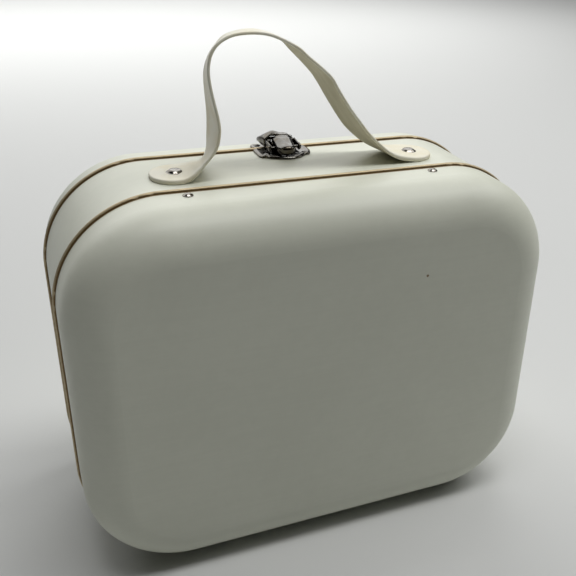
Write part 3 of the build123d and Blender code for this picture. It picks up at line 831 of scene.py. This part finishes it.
# Extra height near the top's rear edge, which the section would round down, and how steeply it
# sets in
LEVER_FILL = 1.3
LEVER_FILL_REACH = 2.0
LEVER_FILL_POWER = 1.5

# The lever's cheeks: their middle, foot and front end
CHEEK_X = 4.4
CHEEK_FOOT_H = 1.6
CHEEK_FRONT_U = -12.0

# Sections of the draw hook's roof, u and then x and h from its left foot to its right: a dented
# ridge at the left
ROOF_SECTIONS = [
    (-4.0, [(-8.1, 1.9), (-8.15, 5.7), (-4.5, 8.1), (0, 7.7), (3.8, 7.4), (7.0, 5.0), (8.1, 1.9)]),
    (-2.4, [(-8.1, 1.9), (-8.2, 6.0), (-4.1, 8.8), (0.2, 7.9), (3.8, 7.5), (7.0, 5.0), (8.1, 1.9)]),
    (-0.6, [(-8.2, 1.9), (-8.3, 6.2), (-3.8, 9.0), (0.5, 7.9), (3.9, 7.4), (7.1, 4.9), (8.2, 1.9)]),
    (2.6, [(-8.6, 2.4), (-8.9, 5.4), (-4.6, 7.3), (0, 6.7), (4.6, 6.4), (7.8, 4.6), (8.6, 2.4)]),
    (6.1, [(-9.0, 3.1), (-9.1, 4.3), (-5.4, 4.9), (0, 4.9), (5.4, 4.9), (9.0, 4.2), (9.0, 3.1)])]
ROOF_STEPS = 6

# The hook's arms: their middle, the radius of their round ends, which the lever's cheeks share,
# and their rear end
ARM_X = 7.65
ARM_RADIUS = 2.0
ARM_REAR_U = -3.9
ARM_REAR_FOOT_H = 1.9
ARM_REAR_TOP_H = 6.0

# Outline and section of the lip at the hook's rear
HOOK_LIP = [(-8.6, 5.3), (0, 5.25), (8.6, 5.3), (8.6, 6.1), (0, 6.15), (-8.6, 6.1)]
HOOK_LIP_SECTION = [(TO_MIDDLE, 2.95), (0.1, 2.95), (0, 3.1), (0, 4.4), (TO_MIDDLE, 4.4)]
HOOK_LIP_STEPS = 5

# Points along and across each upright plate
BAR_ROWS = 20
BAR_ACROSS = 9

# Walls of the hook's mouth, beside the lever: their middle, the half width and the heights
MOUTH_X = 6.35
MOUTH_HALF_WIDTH = 1.3
MOUTH_U = -4.3
MOUTH_FOOT_H = 1.5
MOUTH_TOP_H = 6.0


def upright_bar(x, starts, ends, feet, tops):
    """An upright plate at x, whose rows go from a start and foot to an end and top."""
    share = np.linspace(0, 1, BAR_ACROSS)
    return bent_sheet(np.array([
        latch_points(x, start + (end - start) * share, foot + (top - foot) * share)
        for start, end, foot, top in zip(starts, ends, feet, tops)]))


def rounded_bar(x, tip_u, centre_h, far_u, far_foot, far_top):
    """An upright plate with a round end at tip_u, which goes on to far_u."""
    direction = math.copysign(1, far_u - tip_u)
    turn = np.linspace(TIP_ANGLE, math.pi / 2, BAR_ROWS)
    u = tip_u + direction * ARM_RADIUS * (1 - np.cos(turn))
    rows_u = np.r_[u, np.linspace(u[-1], far_u, BAR_ROWS)[1:]]
    share = np.clip((rows_u - u[-1]) / (far_u - u[-1]), 0, 1)
    half = np.r_[ARM_RADIUS * np.sin(turn), np.full(BAR_ROWS - 1, ARM_RADIUS)]
    foot = (centre_h - half) * (1 - share) + far_foot * share
    top = (centre_h + half) * (1 - share) + far_top * share
    return upright_bar(x, rows_u, rows_u, foot, top)


def roof_shell():
    """The draw hook's roof, a bent sheet through its sections."""
    sections = []
    for u, points in ROOF_SECTIONS:
        line = open_line(points, ROOF_STEPS)
        sections.append(np.c_[np.full(len(line), u), line])
    rows = open_line(sections, ROOF_STEPS)
    return bent_sheet(latch_points(rows[..., 1], rows[..., 0], rows[..., 2]))


def lever_rise(x, u):
    """How much higher the lever's top is at a place than its section says."""
    share = (u - LEVER_RISE_FROM_U) / (LEVER_RISE_TO_U - LEVER_RISE_FROM_U)
    rear = np.clip((u - LEVER_RISE_TO_U) / LEVER_FILL_REACH + 1, 0, 1) ** LEVER_FILL_POWER
    middle = np.clip((CHEEK_X - np.abs(x)) / LATCH_SHEET, 0, 1)
    return LEVER_RISE * eased(share) + LEVER_FILL * rear * middle


class STORAGE_BOX_OT_latch(bpy.types.Operator):
    """Press the draw latch's plate, lever and hook, and give its pins, rivets and catch their
    nickel"""
    bl_idname = "storage_box.latch"
    bl_label = "Make Latch"

    def execute(self, context):
        settings = context.scene.storage_box_metals
        nickel = aged_metal("latch_nickel_aged", settings.nickel, settings.tarnish,
                            dark_share=0.5, grain=3.0)
        for node in cad:
            if node.startswith(("latch_", "catch_")):
                coat(node, nickel)
        self.base(nickel)
        self.lever(nickel)
        self.hook(nickel)
        return {"FINISHED"}

    def base(self, nickel):
        """The plate with its raised rim, and the two ears that hold the pivot pin."""
        plate = pressed(closed_line(BASE_PLAN, PLAN_STEPS), BASE_SECTION)
        turn = np.linspace(0, math.pi / 2 - TIP_ANGLE, EAR_ROWS)
        rows = np.r_[EAR_FOOT_H, pivot_h + EAR_RADIUS * np.sin(turn)]
        half = np.r_[EAR_RADIUS, EAR_RADIUS * np.cos(turn)]
        ears = [upright_bar(x, pivot_u - half, pivot_u + half, rows, rows)
                for x in (-EAR_X, EAR_X)]
        base = skin("latch_base", [plate, *ears], "case", nickel)
        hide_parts("latch_base_plate")

    def lever(self, nickel):
        """The cover that rises from its rounded nose to the hook, and its two cheeks."""
        plan = closed_line(LEVER_PLAN, PLAN_STEPS)
        cover = pressed(plan, LEVER_FOOT) + pressed(plan, LEVER_TOP, lever_rise)
        cheeks = [rounded_bar(x, pivot_u + ARM_RADIUS, pivot_h, CHEEK_FRONT_U, CHEEK_FOOT_H,
                              pivot_h + ARM_RADIUS) for x in (-CHEEK_X, CHEEK_X)]
        lever = skin("latch_lever_cover", [cover, *cheeks], "latch_lever", nickel)
        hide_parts("latch_lever")

    def hook(self, nickel):
        """The roof over the catch, its lip, its two arms and the walls of its mouth."""
        arms = [rounded_bar(x, hook_pin_u - ARM_RADIUS, hook_pin_h, ARM_REAR_U, ARM_REAR_FOOT_H,
                            ARM_REAR_TOP_H) for x in (-ARM_X, ARM_X)]
        lip = pressed(closed_line(HOOK_LIP, HOOK_LIP_STEPS), HOOK_LIP_SECTION)
        heights = np.linspace(MOUTH_FOOT_H, MOUTH_TOP_H, BAR_ROWS)
        across = np.linspace(-MOUTH_HALF_WIDTH, MOUTH_HALF_WIDTH, BAR_ACROSS)
        mouth = [bent_sheet(np.array([latch_points(x + across, MOUTH_U, h) for h in heights]))
                 for x in (-MOUTH_X, MOUTH_X)]
        hook = skin("latch_hook", [roof_shell(), lip, *arms, *mouth], "draw_hook",
                    nickel)
        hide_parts("latch_draw_hook")


class STORAGE_BOX_OT_hinges(bpy.types.Operator):
    """Give the hinges their nickel"""
    bl_idname = "storage_box.hinges"
    bl_label = "Finish Hinges"

    def execute(self, context):
        settings = context.scene.storage_box_metals
        nickel = aged_metal("hinge_nickel_aged", settings.nickel, settings.tarnish,
                            dark_share=0.55, grain=5.0)
        for node in cad:
            if "hinge" in node:
                coat(node, nickel)
        return {"FINISHED"}


# The floor, in metres, and its colour
FLOOR_HALF = 4.0
SWEEP_RADIUS = 1.2
SWEEP_STEPS = 16
FLOOR_COLOUR = display(216, 217, 215)


def pale_floor():
    """A matt pale surface with faint clouds."""
    finish = Finish("pale_floor")
    cloud = finish.noise(finish.place(), 400.0, 2.0)
    return finish.apply(Base_Color=finish.mix(cloud * 0.3, solid(FLOOR_COLOUR),
                                              solid(dyed(FLOOR_COLOUR, 0.97))),
                        Roughness=0.7, Specular_IOR_Level=0.2)


def floor_mesh():
    """A floor that sweeps up into a backdrop far behind."""
    profile = [(-FLOOR_HALF, 0.0), (FLOOR_HALF - SWEEP_RADIUS, 0.0)]
    for angle in np.linspace(0, math.pi / 2, SWEEP_STEPS)[1:]:
        profile.append((FLOOR_HALF - SWEEP_RADIUS + SWEEP_RADIUS * math.sin(angle),
                        SWEEP_RADIUS * (1 - math.cos(angle))))
    mesh = bpy.data.meshes.new("studio_floor")
    verts = [(side * FLOOR_HALF, y, z) for y, z in profile for side in (-1, 1)]
    faces = [(2 * i, 2 * i + 1, 2 * i + 3, 2 * i + 2) for i in range(len(profile) - 1)]
    mesh.from_pydata(verts, [], faces)
    mesh.shade_smooth()
    return mesh


# Softboxes: name, size, place, what each looks at, and the setting that holds its power.
# A size is given along X first where the softbox is over or behind the case, and down the
# slope first where it is at the right.
CASE_MIDDLE = (0.0, 0.0, 0.1)
SOFTBOXES = (
    ("overhead_softbox", (1.3, 0.35), (0.25, -0.2, 1.4), CASE_MIDDLE, "overhead"),
    ("sparkle_softbox", (0.5, 0.16), (0.45, 0.28, 1.4), CASE_MIDDLE, "sparkle"),
    ("shoulder_softbox", (0.5, 1.0), (1.2, 0.0, 1.1), CASE_MIDDLE, "shoulder"),
    ("rear_softbox", (2.6, 1.6), (0.0, 1.5, 1.3), CASE_MIDDLE, "rear"),
    ("backdrop_softbox", (2.4, 1.0), (0.0, 1.8, 1.6), (0.0, 3.2, 0.2), "backdrop"),
)


def softbox(name, size, place, aim, power):
    """A rectangular soft light at a place, turned to what it lights."""
    lamp = bpy.data.lights.new(name, "AREA")
    lamp.shape = "RECTANGLE"
    lamp.size, lamp.size_y = size
    lamp.energy = power
    holder = bpy.data.objects.new(name, lamp)
    back = (Vector(place) - Vector(aim)).normalized()
    across = Vector((0, 1, 0)).cross(back).normalized()
    axes = Matrix((across, back.cross(across), back)).transposed()
    holder.matrix_world = Matrix.Translation(place) @ axes.to_4x4()
    bpy.context.scene.collection.objects.link(holder)


# The camera's sensor in millimetres, the nearest that it sees in metres, and the shift that
# frames the case as the photograph does
SENSOR_WIDTH = 36
NEAREST = 0.01
SHIFT_X = -0.099
SHIFT_Y = 0.0174


def studio_camera(stage):
    """A camera at its angles round the point it looks at, tilted by the roll."""
    azimuth, elevation, roll = stage.azimuth, stage.elevation, stage.roll
    back = Vector((math.sin(azimuth) * math.cos(elevation),
                   -math.cos(azimuth) * math.cos(elevation), math.sin(elevation)))
    right = Vector((math.cos(azimuth), math.sin(azimuth), 0))
    up = back.cross(right)
    tilted_right = right * math.cos(roll) + up * math.sin(roll)
    tilted_up = up * math.cos(roll) - right * math.sin(roll)
    target = Vector((stage.look_x, stage.look_y, mid_z * MM + stage.look_z))
    data = bpy.data.cameras.new("studio_camera")
    data.sensor_width = SENSOR_WIDTH
    data.lens = stage.lens
    data.shift_x = SHIFT_X
    data.shift_y = SHIFT_Y
    data.clip_start = NEAREST
    camera = bpy.data.objects.new("studio_camera", data)
    axes = Matrix((tilted_right, tilted_up, back)).transposed()
    camera.matrix_world = Matrix.Translation(target + back * stage.distance) @ axes.to_4x4()
    bpy.context.scene.collection.objects.link(camera)
    bpy.context.scene.camera = camera


class STORAGE_BOX_OT_stage(bpy.types.Operator):
    """Set up the pale floor, the soft lights and the camera"""
    bl_idname = "storage_box.stage"
    bl_label = "Set Stage"

    def execute(self, context):
        stage = context.scene.storage_box_stage
        floor = bpy.data.objects.new("studio_floor", floor_mesh())
        floor.data.materials.append(pale_floor())
        context.scene.collection.objects.link(floor)
        for name, size, place, aim, setting in SOFTBOXES:
            softbox(name, size, place, aim, getattr(stage, setting))
        world = bpy.data.worlds.new("studio_world")
        world.use_nodes = True
        background = world.node_tree.nodes["Background"]
        background.inputs["Color"].default_value = (1, 1, 1, 1)
        background.inputs["Strength"].default_value = stage.sky
        context.scene.world = world
        context.scene.view_settings.view_transform = "Standard"
        studio_camera(stage)
        return {"FINISHED"}


class STORAGE_BOX_PT_panel(bpy.types.Panel):
    """The steps, and the settings that they read"""
    bl_idname = "STORAGE_BOX_PT_panel"
    bl_label = "Storage Box"
    bl_space_type = "VIEW_3D"
    bl_region_type = "UI"
    bl_category = "Storage Box"

    def draw(self, context):
        for kind in OPERATORS:
            self.layout.operator(kind.bl_idname)
        for name in SETTINGS:
            group = getattr(context.scene, name)
            box = self.layout.box()
            for field in group.__annotations__:
                box.prop(group, field)


SETTINGS = {
    "storage_box_shells": ShellSettings,
    "storage_box_strap": StrapSettings,
    "storage_box_metals": MetalSettings,
    "storage_box_stage": StageSettings,
}
OPERATORS = (STORAGE_BOX_OT_shells, STORAGE_BOX_OT_strap, STORAGE_BOX_OT_rivets,
             STORAGE_BOX_OT_latch, STORAGE_BOX_OT_hinges, STORAGE_BOX_OT_stage)


def register():
    """Register the classes, and give the scene its settings."""
    for kind in (*SETTINGS.values(), *OPERATORS, STORAGE_BOX_PT_panel):
        bpy.utils.register_class(kind)
    for name, group in SETTINGS.items():
        setattr(bpy.types.Scene, name, bpy.props.PointerProperty(type=group))


def unregister():
    """Take the settings and the classes away again."""
    for name in SETTINGS:
        delattr(bpy.types.Scene, name)
    for kind in (STORAGE_BOX_PT_panel, *reversed(OPERATORS), *reversed(SETTINGS.values())):
        bpy.utils.unregister_class(kind)


def main():
    """Make every piece and the stage."""
    register()
    bpy.ops.storage_box.shells()
    bpy.ops.storage_box.strap()
    bpy.ops.storage_box.rivets()
    bpy.ops.storage_box.latch()
    bpy.ops.storage_box.hinges()
    bpy.ops.storage_box.stage()


if __name__ == "__main__":
    main()
